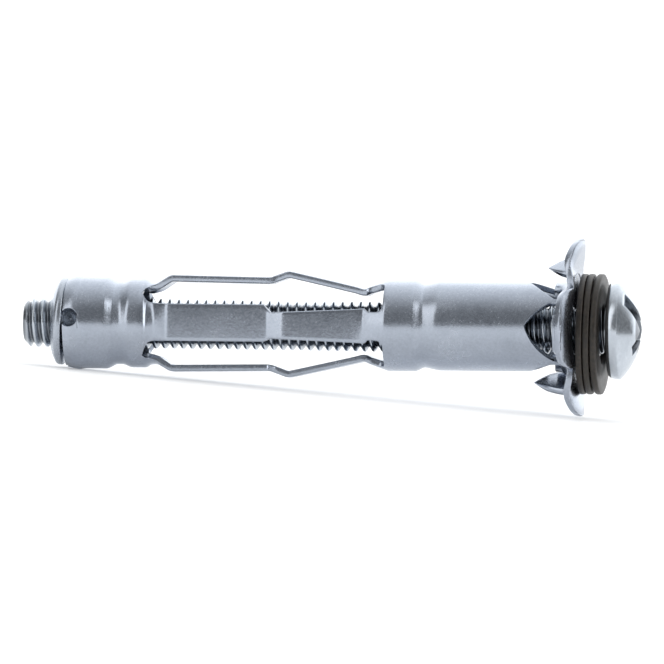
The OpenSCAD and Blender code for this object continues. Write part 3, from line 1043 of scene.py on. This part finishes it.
def zinc(name, dark, light, rough, grain, bump_height, root_shade=None):
    """Zinc plate from a dark and a light grey, a roughness, the grain's scale and its height, and,
    if given, a colour of painted shade for the thread's roots.
    """
    made, nodes, shader = material(name, Metallic=1.0)
    where = nodes.node("ShaderNodeTexCoord", output="Object")
    fine = nodes.node("ShaderNodeTexNoise", {},
                      {"Vector": where, "Scale": grain, "Detail": 6.0, "Roughness": 0.65})
    broad = nodes.node("ShaderNodeTexNoise", {},
                       {"Vector": where, "Scale": broad_scale, "Detail": 3.0})
    mottle = fine * fine_share + broad * (1 - fine_share)
    colour = nodes.node("ShaderNodeValToRGB", {"stops": [(0.32, dark), (0.68, light)]},
                        {"Fac": mottle})
    # Painted shade: the colour darkens towards the thread's roots, by how deep a point lies in the
    # groove.
    if root_shade:
        colour = nodes.mix(groove_depth(nodes, where) * root_shade_share, colour, (*root_shade, 1))
    roughness = (mottle - 0.5) * rough_spread + rough
    bump = nodes.node("ShaderNodeBump", {}, {"Strength": 1.0, "Distance": bump_height * mm,
                                             "Height": fine}, output="Normal")
    feed(nodes, shader, Base_Color=colour, Roughness=roughness.clamped(), Normal=bump)
    return made

# %% Plate the sleeve, the nut and the screw
finish_with(sleeve, zinc("sleeve zinc", (0.34, 0.375, 0.435), (0.46, 0.50, 0.57), 0.24, 5200,
                         0.005))
finish_with(nut, zinc("nut zinc", (0.36, 0.39, 0.44), (0.46, 0.50, 0.56), 0.28, 4200, 0.005))
# The screw's colour darkens to a painted shade in its thread's roots, partly standing for oil.
finish_with(screw, zinc("screw zinc", (0.44, 0.48, 0.53), (0.58, 0.62, 0.67), 0.18, 3600, 0.003,
                        root_shade=(0.13, 0.14, 0.155)))

# %% [markdown]
# ## Fibre
#
# The washers are pressed fibre, nearly black with a trace of brown. Fibre isn't a metal, so
# most of what is seen is its gloss. One noise is enough: it mixes two browns, roughens the
# gloss and gives a bump that breaks up the highlight.

# %% A fibre finish
def fibre(name, dark, light):
    """Pressed fibre from a dark and a light brown."""
    made, nodes, shader = material(name)
    where = nodes.node("ShaderNodeTexCoord", output="Object")
    fine = nodes.node("ShaderNodeTexNoise", {}, {"Vector": where, "Scale": 3800.0, "Detail": 5.0})
    colour = nodes.node("ShaderNodeValToRGB", {"stops": [(0.35, dark), (0.7, light)]},
                        {"Fac": fine})
    bump = nodes.node("ShaderNodeBump", {}, {"Strength": 1.0, "Distance": 0.02 * mm,
                                             "Height": fine}, output="Normal")
    feed(nodes, shader, Base_Color=colour, Roughness=(fine * 0.3 + 0.3), Normal=bump)
    return made


brown = fibre("washer fibre", (0.010, 0.0074, 0.005), (0.036, 0.0275, 0.0195))
for washer in washers:
    finish_with(washer, brown)

# %% [markdown]
# ## The floor
#
# The part lies on white paper that runs out of sight. A matte sheet alone goes grey under a
# soft light, so it glows a little as well, and a trace of gloss gives the faint mirror image
# under the part. It is only a stage, not a piece.

# %% Lay the paper
floor_half = 20
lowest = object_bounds()[0][2]
floor_mesh = bmesh.new()
bmesh.ops.create_grid(floor_mesh, x_segments=1, y_segments=1, size=floor_half)
floor = from_bmesh(floor_mesh, "floor", Matrix.Translation((0, 0, lowest)))
print("the floor lies at", round(lowest / mm, 2), "mm")

# %% White paper
paper_gloss, paper_glow = 0.06, 0.24
paper = bpy.data.materials.new("floor paper")
paper.use_nodes = True
tree = paper.node_tree
tree.nodes.clear()
nodes = Nodes(tree)
matte = nodes.node("ShaderNodeBsdfDiffuse", {}, {"Color": (0.97, 0.97, 0.97, 1)})
gloss = nodes.node("ShaderNodeBsdfGlossy", {}, {"Color": (1, 1, 1, 1), "Roughness": 0.12})
surface = nodes.node("ShaderNodeMixShader", {}, {0: paper_gloss, 1: matte, 2: gloss})
glow = nodes.node("ShaderNodeEmission", {}, {"Color": (1, 1, 1, 1), "Strength": paper_glow})
both = nodes.node("ShaderNodeAddShader", {}, {0: surface, 1: glow})
out = tree.nodes.new("ShaderNodeOutputMaterial")
tree.links.new(both.socket, out.inputs["Surface"])
finish_with(floor, paper)

# %% [markdown]
# ## The light
#
# Bright metal is lit by what it mirrors, and lamps would leave hard spots on it. So the studio
# is one soft tent, drawn in the world: dim low in front, and brighter the further a direction
# turns up and over to the back. Two white boards in front, one towards each end, draw bright
# lines along edges and grooves. The camera itself sees plain white behind the part.

# %% The tent
scene = bpy.context.scene
scene.view_settings.view_transform = "Standard"
world = bpy.data.worlds.new("studio")
scene.world = world
world.use_nodes = True
nodes = Nodes(world.node_tree)
direction = nodes.node("ShaderNodeTexCoord", output="Generated")
parts = nodes.node("ShaderNodeSeparateXYZ", {}, {"Vector": direction})
along_x, from_front, upward = (Value(world.node_tree, parts.socket.node.outputs[k]) for k in "XYZ")
bowed = from_front - along_x.maths("ABSOLUTE", along_x) * 0.9 + 0.1
height = upward.maths("ARCTAN2", upward, bowed * -1) / math.pi
tent_light = [(0, 0.28), (20, 0.25), (41, 0.30), (52, 0.41), (64, 0.66), (76, 0.90), (90, 1.09),
              (105, 1.29), (124, 1.60), (144, 1.90), (180, 1.70)]
tent = nodes.node("ShaderNodeValToRGB", {"stops": [
    (angle / 180, (0.98 * light, light, 1.02 * light)) for angle, light in tent_light]},
    {"Fac": height})
print("the tent has", len(tent_light), "shades from front to back")

# %% The boards
board_top, board_fade = 0.88, 0.3
turn_about = along_x.maths("ARCTAN2", along_x, from_front * -1) * (180 / math.pi)
below_top = ((board_top - upward) * 6).clamped()


def board(centre, half, light, behind):
    """A tall white board in front, round a turn about the table, with soft sides."""
    off = turn_about - centre
    there = ((half - off.maths("ABSOLUTE", off)) * board_fade).clamped()
    return nodes.mix(there * below_top, behind, (light, light, light, 1))


tent = board(64, 13, 3.0, tent)
tent = board(-42, 16, 1.6, tent)
camera_ray = nodes.node("ShaderNodeLightPath", output="Is Camera Ray")
seen = nodes.mix(camera_ray, tent, (1, 1, 1, 1))
background = world.node_tree.nodes["Background"]
world.node_tree.links.new(seen.socket, background.inputs["Color"])
print("the world has", len(world.node_tree.nodes), "nodes")

# %% [markdown]
# ## The camera
#
# The camera stands a metre off, low and a little to the head's side, and is rolled so that the
# sleeve lies nearly level. A near camera would make the head look too big. The lens follows
# from how many pixels a millimetre takes, and the aim from the pixel on which the sleeve's
# middle falls.

# %% Set up the camera
frame_px, sensor_mm = 664, 36
sleeve_middle = on_sleeve @ Vector((-18 * mm, 0, 0))


def viewing(azimuth, elevation, roll, distance, px_per_mm, aim_px):
    """A camera round the sleeve's middle, which it puts on the pixel given."""
    az, el, a = math.radians(azimuth), math.radians(elevation), math.radians(roll)
    back = Vector((math.sin(az) * math.cos(el), -math.cos(az) * math.cos(el), math.sin(el)))
    level = Vector((math.cos(az), math.sin(az), 0))
    upright = back.cross(level)
    right = level * math.cos(a) + upright * math.sin(a)
    up = upright * math.cos(a) - level * math.sin(a)
    off = [(px - frame_px / 2) / px_per_mm * mm for px in aim_px]
    aim = sleeve_middle - right * off[0] + up * off[1]
    data = bpy.data.cameras.new("camera")
    data.sensor_width = sensor_mm
    data.lens = sensor_mm * distance / (frame_px / px_per_mm * mm)
    data.clip_start, data.clip_end = 0.01, 60
    camera = bpy.data.objects.new("camera", data)
    scene.collection.objects.link(camera)
    camera.matrix_world = Matrix.Translation(aim + back * distance) @ Matrix(
        (right, up, back)).transposed().to_4x4()
    return camera


scene.camera = viewing(6.9, 2.0, 5.3, 1.0, 13.08, (335, 325))
print("the lens is", round(scene.camera.data.lens), "mm")
